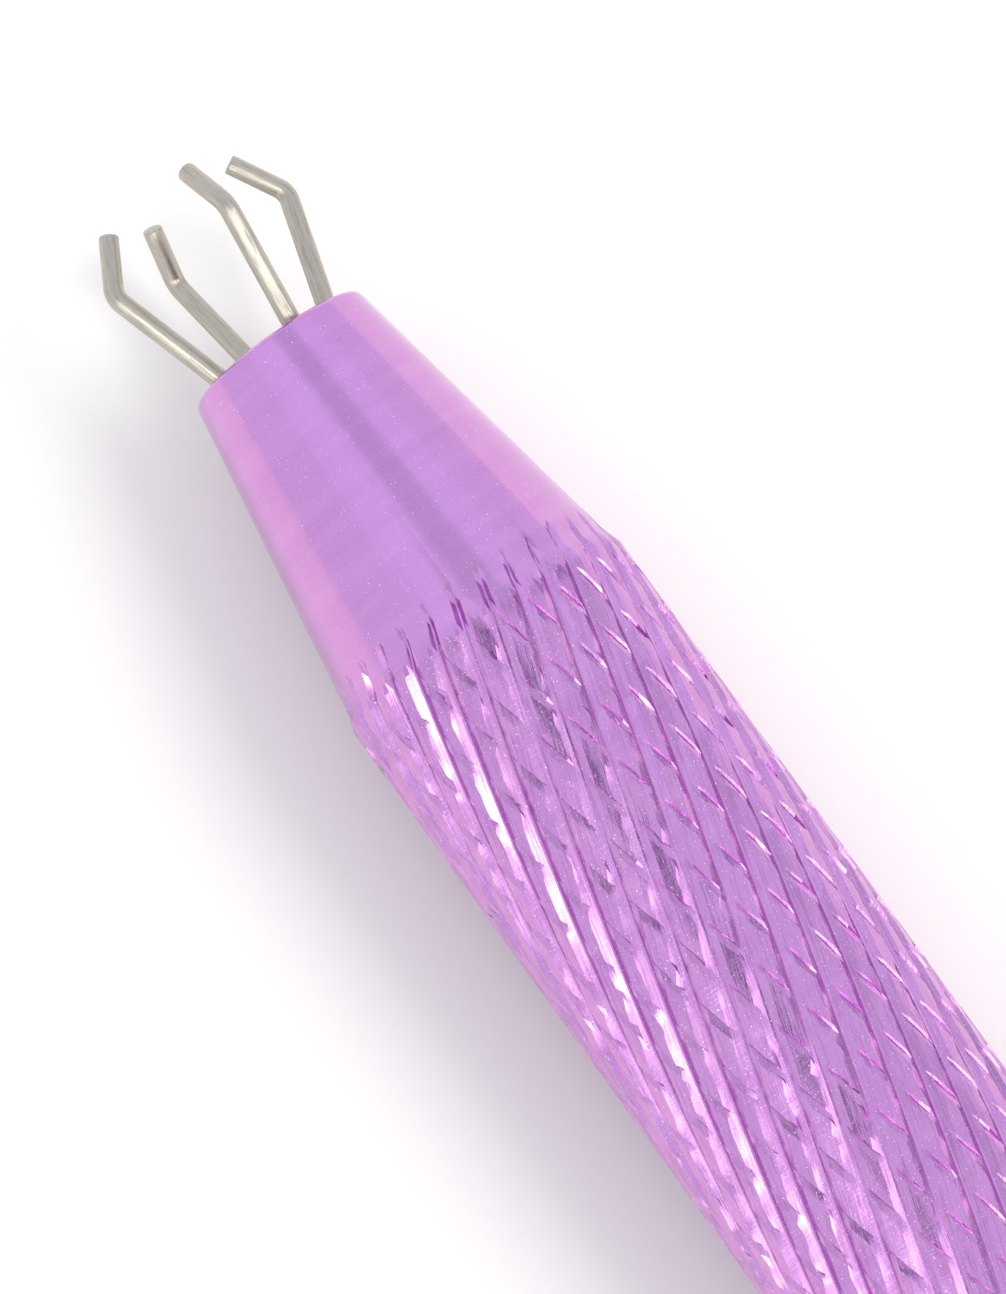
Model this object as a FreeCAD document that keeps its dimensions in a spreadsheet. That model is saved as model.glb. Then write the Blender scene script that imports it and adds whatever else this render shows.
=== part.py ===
import FreeCAD, Part
import math
import os
import re
import Sketcher

# Four-claw pick-up tool: a pen-shaped barrel holds a sprung plunger, whose four
# hooked wires slide out of the nose and spread when the rear button is pressed.
# The tool lies along X with its claws at -X, its button at +X and +Z up. The
# origin is on the surface it lies on, under the middle of its length.
# A "station" is a distance along the axis from the nose's end face towards the
# button. All lengths are in millimetres and all angles in degrees.

SIZES = [
    ("barrel_length", 105.0, "nose end face to rear face"),
    ("barrel_diameter", 8.0, "over the crests of the knurl"),
    ("nose_length", 8.4, "plain cone, from the end face to the knurl"),
    ("nose_wall", 0.46, "cone round the bore at the end face, before its edge is rounded"),
    ("nose_edge_radius", 0.2, "rounding of the nose's outer edge"),
    ("mouth_edge_radius", 0.08, "rounding of the mouth's inner edge"),
    ("knurl_height", 0.15, "step from the cone up to the knurl's crests"),
    ("knurl_lead", 0.45, "length of the bevel at each end of the knurl"),
    ("collar_length", 13.0, "plain turned collar behind the knurl"),
    ("collar_step", 0.2, "how far the collar lies below the knurl's crests"),
    ("collar_edge_radius", 0.3, "rounding of the collar's rear edge"),
    ("front_bore_diameter", 3.95, "bore that opens at the mouth"),
    ("barrel_wall", 1.1, "from the knurl's crests to the bore that holds the spring"),
    ("rear_bore_depth", 43.0, "from the rear face to the shoulder"),
    ("bush_step", 0.3, "from the rear bore out to the bush's thread, drawn plain"),
    ("bush_depth", 6.0, "part of the bush inside the barrel"),
    ("bush_lip", 0.25, "how far the flange stands out past the thread"),
    ("bush_flange_length", 1.0, "thickness of the flange"),
    ("bush_flange_radius", 0.25, "rounding of the flange's rear edge"),
    ("bush_notch_width", 0.9, "spanner notch in the flange's rim"),
    ("bush_notch_depth", 0.5, "how far a notch goes in from the rim"),
    ("stem_diameter", 4.0, "button stem, which slides in the bush"),
    ("head_diameter", 5.8, "button head"),
    ("head_length", 4.2, "button head along the axis"),
    ("head_thumb_radius", 0.9, "rounding of the head's thumb edge"),
    ("head_front_radius", 0.3, "rounding of the head's other edge"),
    ("button_hole_depth", 7.0, "blind hole in the stem for the rod"),
    ("rod_diameter", 2.0, "push rod"),
    ("stop_length", 2.5, "stop collar on the rod"),
    ("guide_length", 1.5, "guide washer on the barrel's shoulder"),
    ("guide_boss_length", 1.6, "boss of the guide, inside the spring"),
    ("boss_gap", 0.35, "round the guide's boss, inside the spring"),
    ("spring_gap", 0.4, "round the return spring, inside the bore"),
    ("spring_wire", 0.45, "wire of the return spring"),
    ("spring_turns", 11.0, "turns of the return spring"),
    ("block_length", 9.0, "claw block along the axis"),
    ("block_front", 0.4, "from the claws' pivots to the block's front face"),
    ("block_hole_depth", 4.0, "blind hole in the block for the rod"),
    ("pin_diameter", 0.8, "cross pins"),
    ("pin_short", 0.2, "how much shorter a pin is than the hole it lies in"),
    ("claw_wire", 0.5, "claw wire"),
    ("claw_pivot_radius", 0.7, "pivots from the axis"),
    ("claw_splay", 18.0, "how far a claw's arm leans out from the axis"),
    ("claw_arm", 6.47, "pivot to the corner of the hook"),
    ("claw_hook", 1.6, "corner of the hook to the wire's end"),
    ("claw_hook_lean", 31.0, "how far the hook leans in towards the axis"),
    ("claw_bend_radius", 0.55, "bend of the wire's centre line"),
    ("claw_root_swell", 0.08, "how far the root's round head stands out past the wire"),
    ("claw_roll", 71.5, "turn of the first claw about the axis, from +Y"),
    ("stroke_forward", 2.0, "plunger, from the pose shown to fully pressed"),
    ("stroke_back", 2.65, "plunger, from the pose shown to fully returned"),
    ("slide_gap", 0.05, "radial clearance of each sliding fit"),
    ("fit_gap", 0.01, "radial clearance of each fixed fit"),
    ("mouth_gap", 0.0536, "from each wire to the mouth, claws as shown"),
    ("root_gap", 0.03, "clearance round the head of a wire's root"),
    ("stop_gap", 0.05, "clearance left at each end of the stroke"),
]

PLACES = [
    ("nose_end_diameter", "front_bore_diameter + 2 * nose_wall"),
    ("collar_diameter", "barrel_diameter - 2 * collar_step"),
    ("rear_bore_diameter", "barrel_diameter - 2 * barrel_wall"),
    ("bush_diameter", "rear_bore_diameter + 2 * bush_step"),
    ("bush_flange_diameter", "bush_diameter + 2 * bush_lip"),
    ("spring_diameter", "rear_bore_diameter - 2 * spring_gap"),
    ("guide_boss_diameter", "spring_diameter - 2 * spring_wire - 2 * boss_gap"),
    ("claw_root_diameter", "claw_wire + 2 * claw_root_swell"),
    ("wire_reach", "claw_pivot_radius + claw_wire / 2 / cos(claw_splay)"),
    ("mouth_room", "front_bore_diameter / 2 - mouth_gap"),
    ("claw_pivot_depth", "(mouth_room - wire_reach) / tan(claw_splay)"),
    ("shoulder", "barrel_length - rear_bore_depth"),
    ("knurl_end", "barrel_length - collar_length"),
    ("bush_face", "barrel_length - bush_depth"),
    ("stop_rear", "bush_face - stroke_back - stop_gap"),
    ("stop_front", "stop_rear - stop_length"),
    ("spring_front", "shoulder + guide_length"),
    ("head_front", "barrel_length + bush_flange_length + stroke_forward + stop_gap"),
    ("tool_rear", "head_front + head_length"),
    ("block_face", "claw_pivot_depth - block_front"),
    ("rod_front", "block_face + block_length - block_hole_depth"),
    ("rod_rear", "stop_rear + button_hole_depth"),
    ("block_pin_station", "rod_front + block_hole_depth / 2"),
    ("stop_pin_station", "stop_front + stop_length / 2"),
    ("button_pin_station", "stop_rear + button_hole_depth / 2"),
    ("arm_reach", "claw_arm * cos(claw_splay)"),
    ("arm_rise", "claw_arm * sin(claw_splay)"),
    ("hook_reach", "claw_hook * cos(claw_hook_lean)"),
    ("hook_drop", "claw_hook * sin(claw_hook_lean)"),
    ("wire_end", "claw_wire / 2 * sin(claw_hook_lean)"),
    ("claw_reach", "arm_reach + hook_reach + wire_end - claw_pivot_depth"),
    ("mouth_x", "(claw_reach - tool_rear) / 2"),
    ("axis_z", "barrel_diameter / 2"),
]

CLAWS = 4
CLAW_STEP = 360 / CLAWS
NOTCHES = 2
OWNER = {alias: "Sizes" for alias, _, _ in SIZES}
OWNER.update({alias: "Places" for alias, _ in PLACES})

doc = FreeCAD.newDocument("PickUpTool")
AXIS = FreeCAD.Vector(1, 0, 0)


def full(formula):
    """Write the sheet's name before each alias in a formula."""
    return re.sub(
        r"[a-z_]+", lambda m: f"{OWNER[m[0]]}.{m[0]}" if m[0] in OWNER else m[0], formula
    )


def make_sheets():
    sizes = doc.addObject("Spreadsheet::Sheet", "Sizes")
    for row, (alias, value, note) in enumerate(SIZES, start=1):
        sizes.set(f"A{row}", note)
        sizes.set(f"B{row}", str(value))
        sizes.setAlias(f"B{row}", alias)
    doc.recompute()
    places = doc.addObject("Spreadsheet::Sheet", "Places")
    for row, (alias, formula) in enumerate(PLACES, start=1):
        places.set(f"A{row}", alias.replace("_", " "))
        places.set(f"B{row}", "=" + full(formula))
        places.setAlias(f"B{row}", alias)
        doc.recompute()


def size(alias):
    return float(doc.getObject(OWNER[alias]).get(alias))


def new_body(label, station, roll="0"):
    """A body whose own origin is on the tool's axis at a station."""
    body = doc.addObject("PartDesign::Body", label)
    body.Label = label
    body.Placement.Rotation = FreeCAD.Rotation(AXIS, 1)
    body.setExpression("Placement.Base.x", full(f"mouth_x + {station}"))
    body.setExpression("Placement.Base.z", full("axis_z"))
    body.setExpression("Placement.Rotation.Angle", full(roll))
    return body


def origin_feature(body, role):
    return next(f for f in body.Origin.OriginFeatures if f.Role == role)


def new_sketch(body, name, role):
    sketch = body.newObject("Sketcher::SketchObject", name)
    sketch.AttachmentSupport = (origin_feature(body, role), [""])
    sketch.MapMode = "FlatFace"
    return sketch


def pin_point(sketch, geometry, point, x, y):
    """Hold a point of the sketch at (x, y), two formulas."""
    drawn = sketch.getPoint(geometry, point)
    for kind, now, formula in (("DistanceX", drawn.x, x), ("DistanceY", drawn.y, y)):
        index = sketch.addConstraint(Sketcher.Constraint(kind, -1, 1, geometry, point, now))
        sketch.setExpression(f"Constraints[{index}]", full(formula))


def outline(body, name, role, corners):
    """A closed outline with a pair of formulas for each corner."""
    sketch = new_sketch(body, name, role)
    count = len(corners)
    turns = [2 * math.pi * i / count for i in range(count)]
    rough = [FreeCAD.Vector(math.cos(t), math.sin(t), 0) for t in turns]
    for i in range(count):
        sketch.addGeometry(Part.LineSegment(rough[i], rough[(i + 1) % count]))
    for i in range(count):
        sketch.addConstraint(Sketcher.Constraint("Coincident", i, 2, (i + 1) % count, 1))
    for i, (x, y) in enumerate(corners):
        pin_point(sketch, i, 1, x, y)
    return sketch


def circle(body, name, role, centres, diameter):
    """Equal circles, with a pair of formulas for each centre."""
    sketch = new_sketch(body, name, role)
    for x, y in centres:
        ring = Part.Circle(FreeCAD.Vector(1, 1, 0), FreeCAD.Vector(0, 0, 1), 1)
        index = sketch.addGeometry(ring)
        pin_point(sketch, index, 3, x, y)
        size_index = sketch.addConstraint(Sketcher.Constraint("Diameter", index, 2.0))
        sketch.setExpression(f"Constraints[{size_index}]", full(diameter))
    return sketch


def turned(label, station, corners):
    """A body turned about the tool's axis; corners are (along, radius)."""
    body = new_body(label, station)
    sketch = outline(body, label + "_profile", "XY_Plane", corners)
    turn = body.newObject("PartDesign::Revolution", label + "_turned")
    turn.Profile = sketch
    turn.ReferenceAxis = (sketch, ["H_Axis"])
    turn.Angle = 360
    doc.recompute()
    return body


def rounded(body, name, along, radius, rounding):
    """Round the ring-shaped edge at a place along the axis and a radius."""
    tip = body.Tip
    found = []
    for number, edge in enumerate(tip.Shape.Edges, start=1):
        curve = edge.Curve
        if not isinstance(curve, Part.Circle):
            continue
        if math.isclose(curve.Center.x, along, abs_tol=1e-4) and math.isclose(
            curve.Radius, radius, abs_tol=1e-4
        ):
            found.append(f"Edge{number}")
    if not found:
        raise ValueError(f"{body.Label}: no edge at {along:.3f}, radius {radius:.3f}")
    fillet = body.newObject("PartDesign::Fillet", name)
    fillet.Base = (tip, found)
    fillet.setExpression("Radius", full(rounding))
    doc.recompute()


def cross_holes(body, name, stations):
    """Holes for cross pins, right through along Y."""
    centres = [(station, "0") for station in stations]
    sketch = circle(body, name + "_circles", "XZ_Plane", centres, "pin_diameter + 2 * fit_gap")
    pocket = body.newObject("PartDesign::Pocket", name)
    pocket.Profile = sketch
    pocket.Type = "ThroughAll"
    pocket.Midplane = True
    doc.recompute()


def make_barrel():
    crest = "barrel_diameter / 2"
    body = turned(
        "barrel",
        "0",
        [
            ("0", "front_bore_diameter / 2"),
            ("0", "nose_end_diameter / 2"),
            ("nose_length", f"{crest} - knurl_height"),
            ("nose_length + knurl_lead", crest),
            ("knurl_end - knurl_lead", crest),
            ("knurl_end", "collar_diameter / 2"),
            ("barrel_length", "collar_diameter / 2"),
            ("barrel_length", "bush_diameter / 2"),
            ("bush_face", "bush_diameter / 2"),
            ("bush_face", "rear_bore_diameter / 2"),
            ("shoulder", "rear_bore_diameter / 2"),
            ("shoulder", "front_bore_diameter / 2"),
        ],
    )
    rounded(body, "nose_edge", 0, size("nose_end_diameter") / 2, "nose_edge_radius")
    rounded(body, "mouth_edge", 0, size("front_bore_diameter") / 2, "mouth_edge_radius")
    rear = size("barrel_length")
    rounded(body, "collar_edge", rear, size("collar_diameter") / 2, "collar_edge_radius")
    return body


def make_rear_bush():
    hole = "stem_diameter / 2 + slide_gap"
    thread = "bush_diameter / 2 - fit_gap"
    flange = "bush_flange_diameter / 2"
    rear = "bush_depth + bush_flange_length"
    body = turned(
        "rear_bush",
        "bush_face",
        [
            ("0", hole),
            ("0", thread),
            ("bush_depth", thread),
            ("bush_depth", flange),
            (rear, flange),
            (rear, hole),
        ],
    )
    rear_x = size("bush_depth") + size("bush_flange_length")
    rim = size("bush_flange_diameter") / 2
    rounded(body, "flange_edge", rear_x, rim, "bush_flange_radius")
    low = f"{flange} - bush_notch_depth"
    high = f"{flange} + bush_notch_depth"
    half = "bush_notch_width / 2"
    sketch = outline(
        body,
        "notch_profile",
        "YZ_Plane",
        [(low, f"-{half}"), (high, f"-{half}"), (high, half), (low, half)],
    )
    sketch.setExpression("AttachmentOffset.Base.z", full("bush_depth"))
    notch = body.newObject("PartDesign::Pocket", "notch")
    notch.Profile = sketch
    notch.Reversed = True
    notch.Type = "ThroughAll"
    doc.recompute()
    pattern = body.newObject("PartDesign::PolarPattern", "notches")
    pattern.Originals = [notch]
    pattern.Axis = (origin_feature(body, "X_Axis"), [""])
    pattern.Angle = 360
    pattern.Occurrences = NOTCHES
    body.Tip = pattern
    doc.recompute()
    return body


def make_rod_guide():
    hole = "rod_diameter / 2 + slide_gap"
    rim = "rear_bore_diameter / 2 - fit_gap"
    boss = "guide_boss_diameter / 2"
    rear = "guide_length + guide_boss_length"
    return turned(
        "rod_guide",
        "shoulder",
        [
            ("0", hole),
            ("0", rim),
            ("guide_length", rim),
            ("guide_length", boss),
            (rear, boss),
            (rear, hole),
        ],
    )


def make_return_spring():
    """A coil between the guide washer and the stop collar, axis along X."""
    body = new_body("return_spring", "spring_front + spring_wire / 2")
    radius = "(spring_diameter - spring_wire) / 2"
    sketch = circle(body, "spring_section", "XY_Plane", [("0", radius)], "spring_wire")
    coil = body.newObject("PartDesign::AdditiveHelix", "coil")
    coil.Profile = sketch
    coil.ReferenceAxis = (sketch, ["H_Axis"])
    coil.Mode = "height-turns-angle"
    coil.setExpression("Height", full("stop_front - spring_front - spring_wire"))
    coil.setExpression("Turns", full("spring_turns"))
    doc.recompute()
    return body


def make_stop_collar():
    hole = "rod_diameter / 2 + fit_gap"
    rim = "rear_bore_diameter / 2 - slide_gap"
    body = turned(
        "stop_collar",
        "stop_front",
        [("0", hole), ("0", rim), ("stop_length", rim), ("stop_length", hole)],
    )
    cross_holes(body, "stop_pin_hole", ["stop_pin_station - stop_front"])
    return body


def make_push_button():
    hole = "rod_diameter / 2 + fit_gap"
    stem = "stem_diameter / 2"
    head = "head_diameter / 2"
    front = "head_front - stop_rear"
    rear = "tool_rear - stop_rear"
    body = turned(
        "push_button",
        "stop_rear",
        [
            ("0", hole),
            ("0", stem),
            (front, stem),
            (front, head),
            (rear, head),
            (rear, "0"),
            ("button_hole_depth", "0"),
            ("button_hole_depth", hole),
        ],
    )
    rim = size("head_diameter") / 2
    front_x = size("head_front") - size("stop_rear")
    rounded(body, "thumb_edge", front_x + size("head_length"), rim, "head_thumb_radius")
    rounded(body, "head_front_edge", front_x, rim, "head_front_radius")
    cross_holes(body, "button_pin_hole", ["button_pin_station - stop_rear"])
    return body


def make_push_rod():
    body = new_body("push_rod", "rod_front")
    sketch = circle(body, "rod_section", "YZ_Plane", [("0", "0")], "rod_diameter")
    rod = body.newObject("PartDesign::Pad", "rod")
    rod.Profile = sketch
    rod.setExpression("Length", full("rod_rear - rod_front"))
    doc.recompute()
    stations = ("block_pin_station", "stop_pin_station", "button_pin_station")
    cross_holes(body, "rod_pin_holes", [f"{station} - rod_front" for station in stations])
    return body


def make_pin(label, station, length):
    """A plain cross pin along Y, centred on the axis."""
    body = new_body(label, station)
    sketch = circle(body, label + "_section", "XZ_Plane", [("0", "0")], "pin_diameter")
    pin = body.newObject("PartDesign::Pad", label + "_pad")
    pin.Profile = sketch
    pin.Midplane = True
    pin.setExpression("Length", full(length))
    doc.recompute()
    return body


def make_claw_block():
    hole = "rod_diameter / 2 + fit_gap"
    rim = "front_bore_diameter / 2 - slide_gap"
    body = turned(
        "claw_block",
        "block_face",
        [
            ("0", "0"),
            ("0", rim),
            ("block_length", rim),
            ("block_length", hole),
            ("block_length - block_hole_depth", hole),
            ("block_length - block_hole_depth", "0"),
        ],
    )
    # one leaning blind hole for a wire's root, from behind its pivot out through
    # the front face, then repeated round the axis
    socket = body.newObject("PartDesign::SubtractiveCylinder", "root_hole")
    behind = "(claw_root_diameter / 2 + root_gap)"
    socket.setExpression("Radius", full(behind))
    socket.setExpression("Height", full(f"{behind} + 2 * block_front / cos(claw_splay)"))
    socket.setExpression(
        "Placement",
        full(
            "placement(vector(0; 0; 0); rotation(vector(1; 0; 0); claw_roll))"
            f" * placement(vector(block_front + {behind} * cos(claw_splay);"
            f" claw_pivot_radius - {behind} * sin(claw_splay); 0);"
            " rotation(vector(0; 0; 1); -claw_splay))"
            " * placement(vector(0; 0; 0); rotation(vector(0; 1; 0); -90))"
        ),
    )
    doc.recompute()
    pattern = body.newObject("PartDesign::PolarPattern", "root_holes")
    pattern.Originals = [socket]
    pattern.Axis = (origin_feature(body, "X_Axis"), [""])
    pattern.Angle = 360
    pattern.Occurrences = CLAWS
    body.Tip = pattern
    doc.recompute()
    cross_holes(body, "block_pin_hole", ["block_pin_station - block_face"])
    return body


def claw_path(body, name):
    """The wire's centre line: a straight arm, one bend and a straight hook."""
    sketch = new_sketch(body, name, "XY_Plane")
    root = FreeCAD.Vector(0, size("claw_pivot_radius"), 0)
    arm = FreeCAD.Vector(-size("arm_reach"), size("arm_rise"), 0)
    hook = FreeCAD.Vector(-size("hook_reach"), -size("hook_drop"), 0)
    corner = root + arm
    end = corner + hook
    arm.normalize()
    hook.normalize()
    half_turn = arm.getAngle(hook) / 2
    cut = size("claw_bend_radius") * math.tan(half_turn)
    middle = corner + (hook - arm).normalize() * (
        size("claw_bend_radius") * (1 / math.cos(half_turn) - 1)
    )
    before = corner - arm * cut
    after = corner + hook * cut
    sketch.addGeometry(Part.LineSegment(root, before))
    sketch.addGeometry(Part.Arc(before, middle, after))
    sketch.addGeometry(Part.LineSegment(after, end))
    mark = sketch.addGeometry(Part.Point(corner), True)
    start = sketch.getPoint(1, 1)
    arc_in, arc_out = (1, 2) if start.distanceToPoint(before) < cut / 2 else (2, 1)
    sketch.addConstraint(Sketcher.Constraint("Tangent", 0, 2, 1, arc_in))
    sketch.addConstraint(Sketcher.Constraint("Tangent", 1, arc_out, 2, 1))
    sketch.addConstraint(Sketcher.Constraint("PointOnObject", mark, 1, 0))
    sketch.addConstraint(Sketcher.Constraint("PointOnObject", mark, 1, 2))
    radius = sketch.addConstraint(Sketcher.Constraint("Radius", 1, size("claw_bend_radius")))
    sketch.setExpression(f"Constraints[{radius}]", full("claw_bend_radius"))
    rise = "claw_pivot_radius + arm_rise"
    pin_point(sketch, 0, 1, "0", "claw_pivot_radius")
    pin_point(sketch, mark, 1, "-arm_reach", rise)
    pin_point(sketch, 2, 2, "-arm_reach - hook_reach", f"{rise} - hook_drop")
    return sketch


def make_prong(number):
    """One hooked wire; its own origin is on the axis at the pivots' station."""
    label = f"prong_{number}"
    roll = f"claw_roll + {CLAW_STEP * (number - 1)}"
    body = new_body(label, "claw_pivot_depth", roll)
    path = claw_path(body, label + "_path")
    doc.recompute()
    section = body.newObject("Sketcher::SketchObject", label + "_section")
    section.AttachmentSupport = (path, ["Edge1"])
    section.MapMode = "NormalToEdge"
    section.addGeometry(Part.Circle(FreeCAD.Vector(), FreeCAD.Vector(0, 0, 1), 1))
    section.addConstraint(Sketcher.Constraint("Coincident", 0, 3, -1, 1))
    width = section.addConstraint(Sketcher.Constraint("Diameter", 0, 2.0))
    section.setExpression(f"Constraints[{width}]", full("claw_wire"))
    doc.recompute()
    wire = body.newObject("PartDesign::AdditivePipe", label + "_wire")
    wire.Profile = section
    wire.Spine = (path, ["Edge1", "Edge2", "Edge3"])
    doc.recompute()
    root = body.newObject("PartDesign::AdditiveSphere", label + "_root")
    root.setExpression("Radius", full("claw_root_diameter / 2"))
    root.setExpression("Placement.Base.y", full("claw_pivot_radius"))
    doc.recompute()
    return body


def check(bodies):
    for item in doc.Objects:
        bad = [state for state in item.State if state in ("Invalid", "Error")]
        if bad:
            raise RuntimeError(f"{item.Name} is {bad}")
    for body in bodies:
        shape = body.Shape
        if shape.isNull() or not shape.isValid() or len(shape.Solids) != 1:
            raise RuntimeError(f"{body.Label} is not one valid solid")


make_sheets()
block_pin_length = "front_bore_diameter - 2 * slide_gap - pin_short"
bodies = [
    make_barrel(),
    make_rear_bush(),
    make_rod_guide(),
    make_return_spring(),
    make_stop_collar(),
    make_push_button(),
    make_push_rod(),
    make_claw_block(),
    make_pin("block_pin", "block_pin_station", block_pin_length),
    make_pin("collar_pin", "stop_pin_station", "rear_bore_diameter - 2 * slide_gap - pin_short"),
    make_pin("button_pin", "button_pin_station", "stem_diameter - pin_short"),
]
bodies += [make_prong(number) for number in range(1, CLAWS + 1)]
doc.recompute()
check(bodies)
os.makedirs("parts", exist_ok=True)
for body in bodies:
    body.Shape.exportStep(f"parts/{body.Label}.step")
    box = body.Shape.BoundBox
    print(f"{body.Label}: {body.Shape.Volume:.3f} mm3, x {box.XMin:.2f} to {box.XMax:.2f}")
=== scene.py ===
"""A pen-shaped four-claw pick-up tool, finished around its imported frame.

The tool lies along X, claws at -X and push button at +X. A station is a distance
along its axis from the nose's end face towards the button.
"""

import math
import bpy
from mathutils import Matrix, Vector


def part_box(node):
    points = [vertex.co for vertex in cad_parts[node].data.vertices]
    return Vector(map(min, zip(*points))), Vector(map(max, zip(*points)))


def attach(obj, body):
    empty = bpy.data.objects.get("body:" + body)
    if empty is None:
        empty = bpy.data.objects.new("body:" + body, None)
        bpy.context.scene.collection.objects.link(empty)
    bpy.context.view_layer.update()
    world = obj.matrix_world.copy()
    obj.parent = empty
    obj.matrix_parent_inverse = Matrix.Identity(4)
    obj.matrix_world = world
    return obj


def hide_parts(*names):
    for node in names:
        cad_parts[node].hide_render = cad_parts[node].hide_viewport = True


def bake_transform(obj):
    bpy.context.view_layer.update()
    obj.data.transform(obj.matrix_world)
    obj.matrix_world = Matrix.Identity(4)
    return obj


bl_info = {
    "name": "Four-claw pick-up tool",
    "version": (1, 0, 0),
    "blender": (4, 5, 0),
    "location": "View3D > Sidebar > Pick-up tool",
    "description": "Makes the barrel, claws, bush and button of a pick-up tool",
    "category": "Object",
}

import bmesh
import bpy
import numpy as np
from bpy.props import FloatProperty, FloatVectorProperty, IntProperty, PointerProperty
from mathutils import Matrix, Vector

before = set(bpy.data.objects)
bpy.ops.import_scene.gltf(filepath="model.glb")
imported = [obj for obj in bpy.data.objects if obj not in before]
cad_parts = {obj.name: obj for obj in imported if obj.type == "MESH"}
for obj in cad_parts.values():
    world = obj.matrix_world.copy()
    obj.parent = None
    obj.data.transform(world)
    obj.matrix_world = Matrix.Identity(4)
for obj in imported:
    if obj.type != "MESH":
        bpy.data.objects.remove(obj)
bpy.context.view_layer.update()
BARREL_LOW, BARREL_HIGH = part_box("barrel")
BUTTON_LOW, BUTTON_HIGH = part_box("push_button")
BUSH_LOW, BUSH_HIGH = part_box("rear_bush")
SPRING_LOW, SPRING_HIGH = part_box("return_spring")
MOUTH_X = BARREL_LOW.x
AXIS_Z = (BARREL_LOW.z + BARREL_HIGH.z) / 2
CREST = BARREL_HIGH.z - AXIS_Z  # the knurl's crests, from the axis
MM = 0.001
ALONG = Vector((1.0, 0.0, 0.0))
WELD = 1e-7  # points closer than this are one, in metres
CARD_HEIGHT = 3.0  # the glowing cards, above the floor or to the tool's side
CARD_GLOW = 10.0  # glow of a card whose stop stands at 1


def length(name, description, millimetres):
    """A size in metres whose default is given in millimetres."""
    return FloatProperty(
        name=name,
        description=description,
        default=millimetres * MM,
        min=0.0,
        precision=6,
        subtype="DISTANCE",
        unit="LENGTH",
    )


def angle(name, description, degrees):
    """An angle whose default is given in degrees."""
    return FloatProperty(
        name=name,
        description=description,
        default=math.radians(degrees),
        subtype="ANGLE",
        unit="ROTATION",
    )


def share(name, description, default, top=1.0):
    """A plain number from 0 to top."""
    return FloatProperty(
        name=name, description=description, default=default, min=0.0, max=top, subtype="FACTOR"
    )


def colour(name, description, default):
    """A linear colour."""
    return FloatVectorProperty(
        name=name, description=description, default=default, size=3, min=0.0, subtype="COLOR"
    )


class BarrelSizes(bpy.types.PropertyGroup):
    """The barrel without its knurl."""

    nose_diameter: length("Nose diameter", "Cone at the end face", 4.87)
    nose_edge: length("Nose edge", "Rounding of the nose's outer edge", 0.2)
    mouth_diameter: length("Mouth diameter", "Bore that the claws come out of", 3.95)
    mouth_edge: length("Mouth edge", "Rounding of the mouth's inner edge", 0.08)
    cone_length: length("Cone length", "End face to the knurl", 8.4)
    cone_diameter: length("Cone diameter", "Cone where it meets the knurl", 7.7)
    collar_start: length("Collar start", "Station where the knurl ends", 92.0)
    collar_diameter: length("Collar diameter", "Plain band behind the knurl", 7.6)
    collar_edge: length("Collar edge", "Rounding of the collar's rear edge", 0.3)
    shoulder: length("Shoulder", "Station where the bore widens", 62.0)
    rear_bore: length("Rear bore", "Bore that holds the spring", 5.8)
    bush_start: length("Bush start", "Station where the bush's hole begins", 99.0)
    bush_bore: length("Bush bore", "Hole for the bush", 6.4)


class KnurlSizes(bpy.types.PropertyGroup):
    """Deep right-hand grooves, crossed by shallow left-hand cuts."""

    count: IntProperty(name="Count", description="Grooves round the barrel", default=30, min=3)
    groove_lean: angle("Groove lean", "Grooves against the axis, at the crests", 17.6)
    groove_width: length("Groove width", "Groove at the crests", 0.46)
    groove_depth: length("Groove depth", "Groove below the crests", 0.13)
    nose_depth: length("Nose depth", "Extra depth where a groove starts on the cone", 0.145)
    cut_lean: angle("Cut lean", "Cross cuts against the axis, at the crests", 14.1)
    cut_width: length("Cut width", "Sloping side of a cross cut", 0.17)
    cut_wall: length("Cut wall", "Steep side of a cross cut", 0.03)
    cut_depth: length("Cut depth", "Cross cut below the crests", 0.055)
    lead: length("Lead", "Bevel at each end of the knurl", 0.45)
    run_up: length("Run-up", "Room on the cone for the grooves to run out", 0.8)
    burr: length("Burr", "How far the lands' edges wander", 0.014)
    seed: IntProperty(name="Seed", description="Start of the burrs' random draws", default=7)


class ClawSizes(bpy.types.PropertyGroup):
    """The four hooked wires."""

    wire: length("Wire", "Diameter of the wire", 0.5)
    pivot_depth: length("Pivot depth", "Mouth to the claws' pivots", 2.95)
    pivot_radius: length("Pivot radius", "Pivots from the axis", 0.7)
    splay: angle("Splay", "Arm against the axis", 18.0)
    arm: length("Arm", "Pivot to the corner of the hook", 6.47)
    hook: length("Hook", "Corner of the hook to the wire's end", 1.6)
    hook_lean: angle("Hook lean", "Hook against the axis, inwards", 31.0)
    bend: length("Bend", "Radius of the wire's centre line in its bend", 0.55)
    root: length("Root", "Round head on the wire's root", 0.66)
    tip_edge: length("Tip edge", "Rounding of the cut end", 0.05)
    roll: angle("Roll", "First claw about the axis, from +Y", 71.5)


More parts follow.
